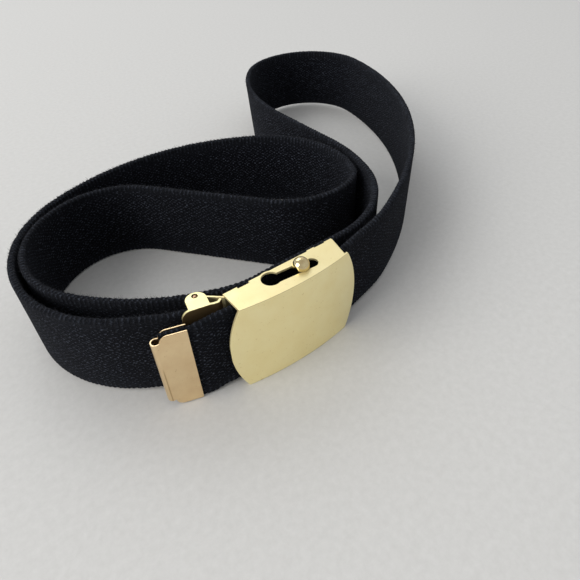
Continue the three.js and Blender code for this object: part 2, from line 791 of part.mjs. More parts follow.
const tip = named("tip_ferrule", tipGeometry(), tipBrass);
tip.position.set(freeEnd.x, freeEnd.y, (WEB_WIDTH - TIP_HEIGHT) / 2);
tip.rotation.z = tipHeading - Math.PI;
belt.add(tip);

// The middle of the belt's underside becomes the origin
const box = new THREE.Box3().setFromObject(belt);
belt.position.set(-(box.min.x + box.max.x) / 2, -(box.min.y + box.max.y) / 2, -box.min.z);

export default belt;
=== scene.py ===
import math
import random

import bmesh
import bpy
from mathutils import Matrix, Vector, noise


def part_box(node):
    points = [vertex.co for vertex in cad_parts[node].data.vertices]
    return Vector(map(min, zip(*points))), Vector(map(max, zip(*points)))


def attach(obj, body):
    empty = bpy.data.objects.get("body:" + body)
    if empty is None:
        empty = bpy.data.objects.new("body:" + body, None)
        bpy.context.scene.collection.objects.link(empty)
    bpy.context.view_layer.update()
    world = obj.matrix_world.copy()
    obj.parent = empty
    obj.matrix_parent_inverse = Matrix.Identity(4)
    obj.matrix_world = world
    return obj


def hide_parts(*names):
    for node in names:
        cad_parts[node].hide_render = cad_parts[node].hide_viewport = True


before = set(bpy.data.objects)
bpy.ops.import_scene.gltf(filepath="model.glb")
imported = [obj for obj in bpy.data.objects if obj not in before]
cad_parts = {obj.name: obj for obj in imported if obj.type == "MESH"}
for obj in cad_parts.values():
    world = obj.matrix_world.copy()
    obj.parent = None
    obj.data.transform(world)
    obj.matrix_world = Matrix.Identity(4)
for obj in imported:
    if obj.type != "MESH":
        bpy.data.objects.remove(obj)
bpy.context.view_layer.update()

# The sizes below are millimetres, and the meshes are scaled to metres as they are made.
MM = 0.001

# The web, as in the CAD source
WEB_WIDTH = 32
WEB_THICKNESS = 2.7
HALF_WEB = WEB_THICKNESS / 2
PRESSED_THICKNESS = 1.5
PRESS_RUN = 3
LIFT_RUN = 55
PIECE_GAP = 0.3
WEB_SIDE_GAP = 0.45

# The buckle, the clamp and the tip, as in the CAD source
SHEET = 0.8
PLATE_LENGTH = 42
PLATE_BOW = 1.9
FLANGE_DEPTH = 11.2
TAB_STEP = 0.4
BAR_RADIUS = 1.8
BAR_OFFSET = 4.9
BAR_BALL_RADIUS = 2.85
BAR_BALL_RISE = 0.4
CLAMP_TILT = 13
CLAMP_STAND_OFF = 4.5
CLAMP_GRIP = 6.5
CLAMP_MOUTH = 2.5
CLAMP_REST_GAP = 1.25
PIN_RADIUS = 0.7
KNUCKLE_WALL = 0.6
PIN_SETBACK = 3.2
TIP_LENGTH = 8.6
TIP_DROP_RUN = 12

# The web's folds, as in the CAD source
ENTRY_SLOPE = 13.5
ENTRY_RUN = 36
ENTRY_BEND_RADIUS = 60
EXIT_SLOPE = 8.3
EXIT_RUN = 34.9
TIP_TURN = 9.2
TIP_BEND_RADIUS = 30
LEFT_REACH = 70.3
OUTER_BEND_RADIUS = 48
OUTER_BEND_RISE = 1.8
CLAMP_BEND_RADIUS = 25
BACK_BEND_RADIUS = 90
INNER_BEND_RADIUS = 35
NEST_DIRECTION = 152
NEST_GAP = 0.5
NESTED_TOP_RADIUS = 28
NESTED_TOP_HEADING = 200
INNER_FRONT_RADIUS = 90
BUCKLE_PASS_RADIUS = 30
PASS_GAP = 0.4
TURN_UPPER_RADIUS = 40
TURN_CORNER_RADIUS = 18
TURN_CORNER_START = -112
TURN_CORNER_END = -165
TURN_LOWER_RADIUS = 30
TURN_NEST_DIRECTION = -10.8
TURN_GAP = 0.5
BACK_FOOT_LEAN = 4
NEAR_STRAND_BEND_RADIUS = 43
NEAR_STRAND_BEND_X = 26.2
NEAR_STRAND_SWEEP_RADIUS = 80
NEAR_STRAND_SWEEP_HEADING = 66.4
FAR_SHOULDER_RADIUS = 88
FAR_BEND = Vector((120.5, 148.5))
FAR_BEND_RADIUS = 30.5
FAR_SIDE_RADIUS = 175
FAR_TOP_LEAN = 3

# The route is drawn in short steps. A turn that comes out near a full circle is rounding, at a fold
# that doesn't bend the web.
ROUTE_STEP = 0.1
LARGEST_TURN = 1.9 * math.pi

# The web's outline: heights on a face, and the crown's points as shares of the half thickness, for how
# far out each lies and how far it drops
FACE_HEIGHTS = (1.0, 2.2, 3.8, 9.5, 16.0, 22.5, 28.2, 29.8, 31.0)
CROWN = ((0.93, 0.5), (0.62, 0.14))

# The loops along the web's edges. How far one strays is a share of the pitch.
LOOP_PITCH = 1.65
RING_STEP = LOOP_PITCH / 4
LOOP_DEPTH = 0.45
LOOP_STRAY = 0.34
LOOP_UNEVENNESS = 0.55
RIB_DEPTH = 0.2
RIB_FULL_AT = 0.8
RIB_GONE_AT = 4.5
FACE_SOFTNESS = 0.07

# The weave. A unit of its UV map is UV_UNIT millimetres. A stray is the scale of a noise, with how far
# it moves the pattern.
UV_UNIT = 100
FLOAT_PITCH = 2.3
ROW_HEIGHT = 0.72
FLOAT_STRAY = (0.6, 4.2)
ROW_STRAY = (0.5, 2.2)
RIB_STRAY = (0.8, 1.6)
RIB_CONTRAST = 0.42
RIB_LEVEL = 0.4
RIB_SHARPNESS = 16
YARN_SQUEEZE = 2.6
YARN_RELIEF = 0.6
NAP_RELIEF = 0.4
WEAVE_RELIEF = 0.5

# Loose fibres: where their roots sit, how they lean, and how one bends and thins from its knee
FIBRES_A_MM = 9
FIBRE_WIDTH = 0.09
FIBRE_SPREAD = 0.8
FIBRE_SEAT = 0.4
FIBRE_CROWN = 0.5
FIBRE_LENGTH = (0.5, 1.3)
FIBRE_RISE = (0.5, 1)
FIBRE_LEAN_OUT = 0.9
FIBRE_LEAN_ALONG = (-0.8, 0.8)
FIBRE_BEND = 0.5
FIBRE_KNEE = 0.55
FIBRE_THINNING = 0.8

# The canvas's colours, from painted shade in the gaps between yarns to painted highlights on their lit
# tops, and those of its wear and fibres
GAP_PAINTED_SHADE = (0.0016, 0.0016, 0.0024)
YARN_BLACK = (0.0036, 0.0041, 0.006)
YARN_LIT = (0.085, 0.096, 0.125)
FADED = (0.012, 0.0145, 0.021)
WORN_EDGE = (0.02, 0.021, 0.024)
FADING = 0.25
EDGE_WEAR = 0.25
FIBRE_DARK = (0.012, 0.012, 0.015)
FIBRE_PALE = (0.045, 0.046, 0.052)

# Painted shade along folds and a painted dark reflection on upright faces darken the brass by how far up a
# face looks: the middle, how far it spreads, and its share
FOLD_PAINTED_SHADE = (0.6, 0.5, 0.8)
SIDE_PAINTED_REFLECTION = (0.0, 0.85, 0.96)
NO_PAINTED_DARKENING = (0.0, 1.0, 0.0)
PAINTED_DARKENING_BROWN = (0.14, 0.085, 0.035)

# The brass's surface: pits, a grain drawn level round the pieces, and shallow dents
PIT_SHADE = 0.72
PITTING = 0.6
GRAIN_STRETCH = (60, 60, 2600)
GRAIN_RELIEF = 0.04
DENT_RELIEF = 0.4

# The painted shade line in the tip's crease: its distance from the free end, its reach up, and how it fades
CREASE_PLACE = 1.4
CREASE_REACH = 19
CREASE_FADE = 3
CREASE_WIDTH = 0.3
CREASE_SHADE_SHARE = 0.8
CREASE_SHADE_BROWN = (0.42, 0.26, 0.12)

# Rounded edges of the sheet pieces: an edge sharper than EDGE_ANGLE is rounded, and faces within
# FLAT_ANGLE of each other are one
BUCKLE_ROUNDING = 0.15
CLAMP_ROUNDING = 0.06
TIP_ROUNDING = 0.12
ROUNDING_SEGMENTS = 3
EDGE_ANGLE = 32
FLAT_ANGLE = 0.6

# Round bodies
BODY_SIDES = 48
PIN_SIDES = 24
BALL_STEPS = 18
BAR_CHAMFER = 0.3
BAR_NECK_DROP = 0.05
PIN_CHAMFER = 0.2
PIN_HEAD = ((0, 0.3), (0.15, 0.1), (0.4, 0))

# The floor
FLOOR_REACH = 2500
FLOOR_DROP = 0.05
FLOOR_DARK = (0.575, 0.565, 0.545)
FLOOR_PALE = (0.63, 0.62, 0.6)

# The length of web from about the buckle's right end to the free end
BUCKLE_SPAN = BAR_OFFSET + PLATE_LENGTH / 2 + EXIT_RUN + TIP_LENGTH

LEFT = 1
RIGHT = -1
HALF_PLATE = PLATE_LENGTH / 2
BUCKLE_HEIGHT = WEB_WIDTH + 2 * (SHEET + WEB_SIDE_GAP)
WEB_LIFT = SHEET + WEB_SIDE_GAP
KNUCKLE_RADIUS = PIN_RADIUS + PIECE_GAP + KNUCKLE_WALL
BOW_RADIUS = (HALF_PLATE**2 + PLATE_BOW**2) / (2 * PLATE_BOW)

# The web's route. As in the CAD source, the middle of the plate's front is at x = 0, y = 0 until the
# shift to the row frame is added.


def along(heading):
    return Vector((math.cos(heading), math.sin(heading)))


def left_of(heading):
    return Vector((-math.sin(heading), math.cos(heading)))


def angle(v):
    return math.atan2(v.y, v.x)


def bow_depth(x):
    return BOW_RADIUS - math.sqrt(BOW_RADIUS**2 - x**2)


def joined(neighbour, radius, heading):
    centre, own, side = neighbour
    return (centre + left_of(heading) * side * (radius - own), radius, side)


def meeting_point(a, reach_a, b, reach_b, side):
    span = b - a
    foot = (reach_a**2 - reach_b**2 + span.length_squared) / (2 * span.length)
    height = math.sqrt(reach_a**2 - foot**2)
    return a + along(angle(span)) * foot + left_of(angle(span)) * side * height


def bridged(before, after, radius):
    centre = meeting_point(before[0], radius - before[1], after[0], radius - after[1], before[2])
    return (centre, radius, before[2])


bar = Vector((BAR_OFFSET, bow_depth(BAR_OFFSET) + SHEET + 2 * PIECE_GAP + WEB_THICKNESS + BAR_RADIUS))
bar_bend_radius = BAR_RADIUS + PIECE_GAP + HALF_WEB
entry_heading = math.radians(-180 + ENTRY_SLOPE)
exit_heading = math.radians(180 - EXIT_SLOPE)
clamp_heading = math.radians(180 - CLAMP_TILT)
tip_heading = exit_heading - math.radians(TIP_TURN)
bar_entry = bar + left_of(entry_heading) * bar_bend_radius
bar_exit = bar + left_of(exit_heading) * bar_bend_radius

fixed_end_x = -HALF_PLATE - CLAMP_STAND_OFF
exit_at_fixed_end = bar_exit.y + (bar_exit.x - fixed_end_x) * math.tan(math.radians(EXIT_SLOPE))
fixed_end = Vector((fixed_end_x, exit_at_fixed_end + WEB_THICKNESS + CLAMP_REST_GAP + SHEET + PIECE_GAP))
clamp_mouth = fixed_end + along(clamp_heading) * CLAMP_GRIP
pin_offset = HALF_WEB + PIECE_GAP + KNUCKLE_RADIUS
pin = fixed_end + along(clamp_heading) * PIN_SETBACK - left_of(clamp_heading) * pin_offset

tip_bend_start = bar_exit + along(exit_heading) * EXIT_RUN
tip_bend_centre = tip_bend_start - left_of(exit_heading) * TIP_BEND_RADIUS
tip_bend_end = tip_bend_centre + left_of(tip_heading) * TIP_BEND_RADIUS
free_end = tip_bend_end + along(tip_heading) * TIP_LENGTH


def route_folds():
    outer = (
        Vector(
            (
                -LEFT_REACH + HALF_WEB + OUTER_BEND_RADIUS,
                fixed_end.y + OUTER_BEND_RADIUS + OUTER_BEND_RISE,
            )
        ),
        OUTER_BEND_RADIUS,
        RIGHT,
    )
    clamp = (clamp_mouth - left_of(clamp_heading) * CLAMP_BEND_RADIUS, CLAMP_BEND_RADIUS, RIGHT)
    nest_reach = OUTER_BEND_RADIUS - INNER_BEND_RADIUS - WEB_THICKNESS - NEST_GAP
    inner = (outer[0] + along(math.radians(NEST_DIRECTION)) * nest_reach, INNER_BEND_RADIUS, LEFT)
    nested_top = joined(inner, NESTED_TOP_RADIUS, math.radians(NESTED_TOP_HEADING))
    clearance = KNUCKLE_RADIUS + PASS_GAP + HALF_WEB
    inner_front_centre = meeting_point(
        inner[0],
        INNER_FRONT_RADIUS - INNER_BEND_RADIUS,
        pin,
        INNER_FRONT_RADIUS + clearance,
        LEFT,
    )
    inner_front = (inner_front_centre, INNER_FRONT_RADIUS, LEFT)
    pass_y = FLANGE_DEPTH + TAB_STEP + PIECE_GAP + HALF_WEB
    rise = inner_front_centre.y - pass_y - BUCKLE_PASS_RADIUS
    shift = math.sqrt((INNER_FRONT_RADIUS - BUCKLE_PASS_RADIUS) ** 2 - rise**2)
    buckle_pass = (
        Vector((inner_front_centre.x - shift, pass_y + BUCKLE_PASS_RADIUS)),
        BUCKLE_PASS_RADIUS,
        LEFT,
    )
    near_bend = (
        Vector((NEAR_STRAND_BEND_X, pass_y + NEAR_STRAND_BEND_RADIUS)),
        NEAR_STRAND_BEND_RADIUS,
        LEFT,
    )
    near_sweep = joined(near_bend, NEAR_STRAND_SWEEP_RADIUS, math.radians(NEAR_STRAND_SWEEP_HEADING))
    near_x = near_sweep[0].x + NEAR_STRAND_SWEEP_RADIUS
    turn_reach = NEAR_STRAND_SWEEP_RADIUS - TURN_UPPER_RADIUS - WEB_THICKNESS - TURN_GAP
    turn_centre = near_sweep[0] + along(math.radians(TURN_NEST_DIRECTION)) * turn_reach
    turn_upper = (turn_centre, TURN_UPPER_RADIUS, RIGHT)
    turn_corner = joined(turn_upper, TURN_CORNER_RADIUS, math.radians(TURN_CORNER_START))
    turn_lower = joined(turn_corner, TURN_LOWER_RADIUS, math.radians(TURN_CORNER_END))
    back = bridged(outer, turn_upper, BACK_BEND_RADIUS)
    far = (FAR_BEND, FAR_BEND_RADIUS, RIGHT)
    shoulder_x = near_x + FAR_SHOULDER_RADIUS
    drop = math.sqrt((FAR_SHOULDER_RADIUS - FAR_BEND_RADIUS) ** 2 - (shoulder_x - FAR_BEND.x) ** 2)
    shoulder = (Vector((shoulder_x, FAR_BEND.y - drop)), FAR_SHOULDER_RADIUS, RIGHT)
    entry_centre = bar_entry - along(entry_heading) * ENTRY_RUN
    entry_centre -= left_of(entry_heading) * ENTRY_BEND_RADIUS
    entry = (entry_centre, ENTRY_BEND_RADIUS, RIGHT)
    far_side = bridged(far, entry, FAR_SIDE_RADIUS)
    folds = [
        (fixed_end, 0, RIGHT),
        clamp,
        outer,
        back,
        turn_upper,
        turn_corner,
        turn_lower,
        nested_top,
        inner,
        inner_front,
        buckle_pass,
        near_bend,
        near_sweep,
        shoulder,
        far,
        far_side,
        entry,
        (bar, bar_bend_radius, RIGHT),
        (tip_bend_centre, TIP_BEND_RADIUS, RIGHT),
        (free_end, 0, RIGHT),
    ]
    leans = [
        (folds.index(back), folds.index(turn_upper), 0, -BACK_FOOT_LEAN),
        (folds.index(shoulder), folds.index(far_side), FAR_TOP_LEAN, 0),
    ]
    return folds, leans


def run_heading(a, b):
    span = b[0] - a[0]
    share = (b[2] * b[1] - a[2] * a[1]) / span.length
    return angle(span) - math.asin(max(-1, min(1, share)))


def touch_point(at, heading):
    return at[0] - left_of(heading) * at[2] * at[1]


def route_line(folds):
    """The route as closely spaced points with headings, and the distances where each fold bends it."""
    line = []
    bends = {}
    length = 0.0
    for i in range(len(folds) - 1):
        heading = run_heading(folds[i], folds[i + 1])
        start = touch_point(folds[i], heading)
        end = touch_point(folds[i + 1], heading)
        steps = max(1, math.ceil((end - start).length / ROUTE_STEP))
        line += [(start.lerp(end, k / steps), heading) for k in range(steps + 1)]
        length += (end - start).length
        if i + 2 < len(folds):
            at = folds[i + 1]
            turn = (at[2] * (run_heading(at, folds[i + 2]) - heading)) % (2 * math.pi)
            if turn < LARGEST_TURN:
                steps = math.ceil(turn * at[1] / ROUTE_STEP)
                for k in range(1, steps):
                    h = heading + at[2] * turn * k / steps
                    line.append((touch_point(at, h), h))
                bends[i + 1] = (length, length + turn * at[1])
                length += turn * at[1]
    return line, bends


def evenly_spaced(line, step):
    """Stations at even distances along the route: (distance, point, heading)."""
    distances = [0.0]
    for (a, _), (b, _) in zip(line, line[1:]):
        distances.append(distances[-1] + (b - a).length)
    length = distances[-1]
    count = round(length / step)
    stations = []
    at = 0
    for k in range(count + 1):
        d = length * k / count
        while at < len(line) - 2 and distances[at + 1] < d:
            at += 1
        span = distances[at + 1] - distances[at]
        t = (d - distances[at]) / span if span > 1e-9 else 0
        point = line[at][0].lerp(line[at + 1][0], t)
        stations.append((d, point, line[at][1]))
    return stations, length


def smooth_step(x, low, high):
    t = max(0.0, min(1.0, (x - low) / (high - low)))
    return t * t * (3 - 2 * t)


def lean_at(leans, bends, s):
    """How far the upper and the lower edge lie to the left of the route at distance s."""
    top = foot = 0
    for rises, falls, full_top, full_foot in leans:
        share = smooth_step(s, *bends[rises]) - smooth_step(s, *bends[falls])
        top += share * full_top
        foot += share * full_foot
    return top, foot


def lift_at(s, exit_length, length):
    """How high the web's foot is at distance s: on the sheet in the buckle, on the floor away from it."""
    leaving = 1 - smooth_step(s, CLAMP_GRIP, CLAMP_GRIP + LIFT_RUN)
    entering = smooth_step(s, exit_length - LIFT_RUN, exit_length)
    in_tip = length - TIP_LENGTH
    dropped = smooth_step(s, in_tip - TIP_DROP_RUN, in_tip)
    return WEB_LIFT * max(leaving, entering - dropped)


# The shift from the places above to the row frame, in millimetres
bar_low, bar_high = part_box("pinch_bar")
bar_middle = (bar_low + bar_high) / 2 / MM
shift = bar_middle.xy - bar

folds, leans = route_folds()
route, bends = route_line(folds)


# Helpers for pieces


def new_piece(name, mesh, material, slot, *nodes):
    piece = bpy.data.objects.new(name, mesh)
    bpy.context.scene.collection.objects.link(piece)
    mesh.materials.clear()
    mesh.materials.append(material)
    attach(piece, "root")
    if nodes:
        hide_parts(*nodes)
    return piece


def mesh_from(name, vertices, faces, smooth=True):
    """A mesh from millimetres in the row frame."""
    mesh = bpy.data.meshes.new(name)
    mesh.from_pydata([tuple(c * MM for c in v) for v in vertices], [], faces)
    bm = bmesh.new()
    bm.from_mesh(mesh)
    bmesh.ops.recalc_face_normals(bm, faces=bm.faces)
    bm.to_mesh(mesh)
    bm.free()
    mesh.polygons.foreach_set("use_smooth", [smooth] * len(mesh.polygons))
    return mesh


def lathed(name, profile, x, y, sides):
    """A round body about an upright axis. The profile's (radius, height) points start and end on it."""
    vertices = []
    rings = []
    for radius, height in profile:
        if radius < 1e-6:
            rings.append([len(vertices)])
            vertices.append((x, y, height))
            continue
        rings.append(list(range(len(vertices), len(vertices) + sides)))
        for k in range(sides):
            a = 2 * math.pi * k / sides
            vertices.append((x + radius * math.cos(a), y + radius * math.sin(a), height))
    faces = []
    for low, high in zip(rings, rings[1:]):
        for k in range(sides):
            n = (k + 1) % sides
            if len(low) == 1:
                faces.append((low[0], high[n], high[k]))
            elif len(high) == 1:
                faces.append((low[k], low[n], high[0]))
            else:
                faces.append((low[k], low[n], high[n], high[k]))
    return mesh_from(name, vertices, faces)


def rounded_copy(node, name, material, slot, width):
    """A CAD node's shape with its edges rounded off and its curved faces smooth."""
    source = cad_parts[node]
    mesh = source.data.copy()
    mesh.name = name
    bm = bmesh.new()
    bm.from_mesh(mesh)
    bmesh.ops.remove_doubles(bm, verts=bm.verts, dist=1e-6)
    bmesh.ops.dissolve_limit(bm, angle_limit=math.radians(FLAT_ANGLE), verts=bm.verts, edges=bm.edges)
    bmesh.ops.recalc_face_normals(bm, faces=bm.faces)
    bm.to_mesh(mesh)
    bm.free()
    mesh.polygons.foreach_set("use_smooth", [True] * len(mesh.polygons))
    piece = new_piece(name, mesh, material, slot, node)
    bevel = piece.modifiers.new("edges", "BEVEL")
    bevel.limit_method = "ANGLE"
    bevel.angle_limit = math.radians(EDGE_ANGLE)
    bevel.width = width * MM
    bevel.segments = ROUNDING_SEGMENTS
    bevel.use_clamp_overlap = False
    piece.modifiers.new("flat_faces", "WEIGHTED_NORMAL")


# Materials


def new_material(name):
    material = bpy.data.materials.new(name)
    material.use_nodes = True
    tree = material.node_tree
    return material, tree, tree.nodes["Principled BSDF"]


def math_node(tree, operation, a, b=None):
    node = tree.nodes.new("ShaderNodeMath")
    node.operation = operation
    for slot, value in zip(node.inputs, (a, b)):
        if value is None:
            continue
        if isinstance(value, (int, float)):
            slot.default_value = value
        else:
            tree.links.new(value, slot)
    return node.outputs[0]


def scaled(tree, value, factor):
    return math_node(tree, "MULTIPLY", value, factor)


def wave(tree, shape, value, pitch):
    """The sine or cosine of a place that comes round once in a pitch."""
    return math_node(tree, shape, scaled(tree, value, 2 * math.pi / pitch))


def plan(tree, u, v):
    """A place on the flat web, in millimetres."""
    node = tree.nodes.new("ShaderNodeCombineXYZ")
    tree.links.new(u, node.inputs[0])
    tree.links.new(v, node.inputs[1])
    return node.outputs[0]


def noise_node(tree, vector, scale, detail=3, roughness=0.55):
    node = tree.nodes.new("ShaderNodeTexNoise")
    node.inputs["Scale"].default_value = scale
    node.inputs["Detail"].default_value = detail
    node.inputs["Roughness"].default_value = roughness
    tree.links.new(vector, node.inputs["Vector"])
    return node.outputs["Fac"]


def straying(tree, value, place, scale, reach):
    """A value moved on by a smooth noise."""
    return math_node(tree, "ADD", value, scaled(tree, noise_node(tree, place, scale), reach))


def ramp_node(tree, value, stops):
    node = tree.nodes.new("ShaderNodeValToRGB")
    ramp = node.color_ramp
    while len(ramp.elements) < len(stops):
        ramp.elements.new(0.5)
    for element, (position, colour) in zip(ramp.elements, stops):
        element.position = position
        element.color = (*colour, 1)
    tree.links.new(value, node.inputs["Fac"])
    return node.outputs["Color"]


def mix_colours(tree, share, a, b, mode="MIX"):
    node = tree.nodes.new("ShaderNodeMix")
    node.data_type = "RGBA"
    node.blend_type = mode
    for socket, value in ((node.inputs[0], share), (node.inputs[6], a), (node.inputs[7], b)):
        if isinstance(value, (int, float)):
            socket.default_value = value
        elif isinstance(value, tuple):
            socket.default_value = (*value, 1)
        else:
            tree.links.new(value, socket)
    return node.outputs[2]


def bump_node(tree, height, strength, distance, below=None):
    node = tree.nodes.new("ShaderNodeBump")
    node.inputs["Strength"].default_value = strength
    node.inputs["Distance"].default_value = distance
    tree.links.new(height, node.inputs["Height"])
    if below is not None:
        tree.links.new(below, node.inputs["Normal"])
    return node.outputs["Normal"]


def canvas_material():
    """Black cotton web: rows of short yarn floats that step by half a pitch, and ribs along the edges."""
    material, tree, shader = new_material("black_canvas")
    uv = tree.nodes.new("ShaderNodeUVMap")
    uv.uv_map = "weave"
    split = tree.nodes.new("ShaderNodeSeparateXYZ")
    tree.links.new(uv.outputs["UV"], split.inputs[0])
    u = scaled(tree, split.outputs[0], UV_UNIT)
    v = scaled(tree, split.outputs[1], UV_UNIT)
    flat = plan(tree, u, v)

    across = wave(tree, "SINE", straying(tree, u, flat, *FLOAT_STRAY), FLOAT_PITCH)
    up = wave(tree, "SINE", straying(tree, v, flat, *ROW_STRAY), 2 * ROW_HEIGHT)
    floats = math_node(tree, "MAXIMUM", scaled(tree, across, up), 0)

    face_height = WEB_WIDTH + HALF_WEB
    face_side = math_node(tree, "SIGN", math_node(tree, "SUBTRACT", face_height, v))
    rib_wave = wave(tree, "COSINE", straying(tree, u, flat, *RIB_STRAY), LOOP_PITCH)
    ribs = scaled(tree, scaled(tree, rib_wave, face_side), RIB_CONTRAST)
    ribs = math_node(tree, "ADD", ribs, RIB_LEVEL)
    edge = math_node(tree, "ABSOLUTE", wave(tree, "COSINE", v, 2 * face_height))
    edge = math_node(tree, "POWER", edge, RIB_SHARPNESS)
    floats = scaled(tree, floats, math_node(tree, "SUBTRACT", 1, edge))
    floats = math_node(tree, "ADD", floats, scaled(tree, ribs, edge))

    yarn = noise_node(tree, plan(tree, u, scaled(tree, v, YARN_SQUEEZE)), 1.6, 4, 0.65)
    nap = noise_node(tree, flat, 7.5, 4, 0.8)
    height = math_node(tree, "ADD", floats, scaled(tree, yarn, YARN_RELIEF))
    height = math_node(tree, "ADD", height, scaled(tree, nap, NAP_RELIEF))
    normal = bump_node(tree, height, 0.9, WEAVE_RELIEF * MM)
    tree.links.new(normal, shader.inputs["Normal"])

    patches = noise_node(tree, flat, 0.05)
    missing = noise_node(tree, flat, 0.45, 3, 0.7)
    lit = scaled(tree, floats, scaled(tree, yarn, missing))
    # Painted light: shade in the gaps between yarns and highlights on their tops, following the weave's
    # heights
    weave_painted_light = ramp_node(tree, lit, [(0.0, GAP_PAINTED_SHADE), (0.13, YARN_BLACK), (0.34, YARN_LIT)])
    faded = mix_colours(tree, scaled(tree, patches, FADING), weave_painted_light, FADED)
    worn = mix_colours(tree, scaled(tree, edge, EDGE_WEAR), faded, WORN_EDGE)
    tree.links.new(worn, shader.inputs["Base Color"])
    shader.inputs["Roughness"].default_value = 0.92
    shader.inputs["Specular IOR Level"].default_value = 0.05
    shader.inputs["Sheen Weight"].default_value = 0.03
    shader.inputs["Sheen Roughness"].default_value = 0.45
    shader.inputs["Sheen Tint"].default_value = (0.75, 0.8, 0.95, 1)
    return material


def fuzz_material():
    """Loose cotton fibres, a little paler than the web, since light passes through them."""
    material, tree, shader = new_material("canvas_fibres")
    place = tree.nodes.new("ShaderNodeTexCoord").outputs["Object"]
    colour = ramp_node(tree, noise_node(tree, place, 400), [(0.35, FIBRE_DARK), (0.65, FIBRE_PALE)])
    tree.links.new(colour, shader.inputs["Base Color"])
    shader.inputs["Roughness"].default_value = 0.9
    shader.inputs["Specular IOR Level"].default_value = 0.15
    return material


def crease_shade_share(tree, place, origin, direction, reach):
    """The mask of a painted shade line in a crease: 1 on an upright line through origin, and 0 a crease's
    width aside of it or higher than reach.
    """
    dot = tree.nodes.new("ShaderNodeVectorMath")
    dot.operation = "DOT_PRODUCT"
    tree.links.new(place, dot.inputs[0])
    dot.inputs[1].default_value = (direction.x, direction.y, 0)
    aside = math_node(tree, "SUBTRACT", dot.outputs["Value"], direction.dot(origin) * MM)
    aside = scaled(tree, math_node(tree, "ABSOLUTE", aside), 1 / (CREASE_WIDTH * MM))
    height = tree.nodes.new("ShaderNodeSeparateXYZ")
    tree.links.new(place, height.inputs[0])
    below = math_node(tree, "SUBTRACT", reach * MM, height.outputs[2])
    below = scaled(tree, below, 1 / (CREASE_FADE * MM))
    below = math_node(tree, "MINIMUM", math_node(tree, "MAXIMUM", below, 0), 1)
    line = math_node(tree, "MAXIMUM", math_node(tree, "SUBTRACT", 1, aside), 0)
    return scaled(tree, line, below)


def painted_darkening_share(tree, middle, spread, share):
    """The share of painted darkening (shade along folds, a dark reflection on upright faces), full where a
    face's upward look is the middle and gone where it is spread away.
    """
    geometry = tree.nodes.new("ShaderNodeNewGeometry")
    facing = tree.nodes.new("ShaderNodeSeparateXYZ")
    tree.links.new(geometry.outputs["Normal"], facing.inputs[0])
    slope = math_node(tree, "ABSOLUTE", math_node(tree, "SUBTRACT", facing.outputs[2], middle))
    painted_dark = math_node(tree, "SUBTRACT", 1, scaled(tree, slope, 1 / spread))
    return scaled(tree, math_node(tree, "MAXIMUM", painted_dark, 0), share)


def brass_material(
    name, light, deep, roughness, grain, metallic=1, dents=0.12, painted_darkening=FOLD_PAINTED_SHADE, crease_shade=None
):
    """Polished brass with a faint drawn grain, handling smears, pits and a little tarnish, which on the bar
    gives dark patches of painted reflection, with painted darkening by how far up a face looks (shade along
    folds, a dark reflection on upright faces) and an optional painted shade line along a crease.
    """
    material, tree, shader = new_material(name)
    place = tree.nodes.new("ShaderNodeTexCoord").outputs["Object"]
    stretch = tree.nodes.new("ShaderNodeMapping")
    stretch.inputs["Scale"].default_value = GRAIN_STRETCH
    tree.links.new(place, stretch.inputs["Vector"])
    drawn = noise_node(tree, stretch.outputs[0], 1.0, 4, 0.6)
    smears = noise_node(tree, place, 130, 4, 0.6)
    specks = noise_node(tree, place, 900, 3, 0.7)

    # Random tarnish; on the bar its dark patches are a painted reflection
    tarnish_and_painted_reflection = ramp_node(tree, smears, [(0.35, light), (0.75, deep)])
    pitted = ramp_node(tree, specks, [(0.27, tuple(c * PIT_SHADE for c in deep)), (0.36, (1, 1, 1))])
    colour = mix_colours(tree, PITTING, tarnish_and_painted_reflection, pitted, "MULTIPLY")
    # Painted darkening by how far up a face looks: shade along folds, a dark reflection of the web on the
    # clamp's upright faces
    colour = mix_colours(tree, painted_darkening_share(tree, *painted_darkening), colour, PAINTED_DARKENING_BROWN)
    # Painted shade: a brown line along the tip's crease
    if crease_shade is not None:
        share = scaled(tree, crease_shade_share(tree, place, *crease_shade), CREASE_SHADE_SHARE)
        colour = mix_colours(tree, share, colour, CREASE_SHADE_BROWN)
    tree.links.new(colour, shader.inputs["Base Color"])
    shader.inputs["Metallic"].default_value = metallic

    rough = math_node(tree, "ADD", scaled(tree, smears, 0.16), roughness - 0.08)
    tree.links.new(rough, shader.inputs["Roughness"])
    scratched = bump_node(tree, drawn, grain, GRAIN_RELIEF * MM)
    dented = bump_node(tree, smears, dents, DENT_RELIEF * MM, scratched)
    tree.links.new(dented, shader.inputs["Normal"])
    return material


canvas = canvas_material()
plate_brass = brass_material(
    "plate_brass",
    light=(1.0, 0.88, 0.49),
    deep=(0.96, 0.82, 0.42),
    roughness=0.36,
    grain=0.2,
    metallic=0.62,
    dents=0.05,
)
clamp_brass = brass_material(
    "clamp_brass",
    light=(0.84, 0.75, 0.39),
    deep=(0.74, 0.63, 0.31),
    roughness=0.38,
    grain=0.2,
    metallic=0.75,
    # The clamp's upright faces are darkened towards brown: a painted dark reflection of the black web
    painted_darkening=SIDE_PAINTED_REFLECTION,
)
# The bar's deep colour gives the ball dark patches: a painted reflection of dark surroundings
bar_brass = brass_material(
    "bar_brass",
    light=(0.95, 0.83, 0.5),
    deep=(0.5, 0.36, 0.17),
    roughness=0.1,
    grain=0.1,
    dents=0.5,
    painted_darkening=NO_PAINTED_DARKENING,
)
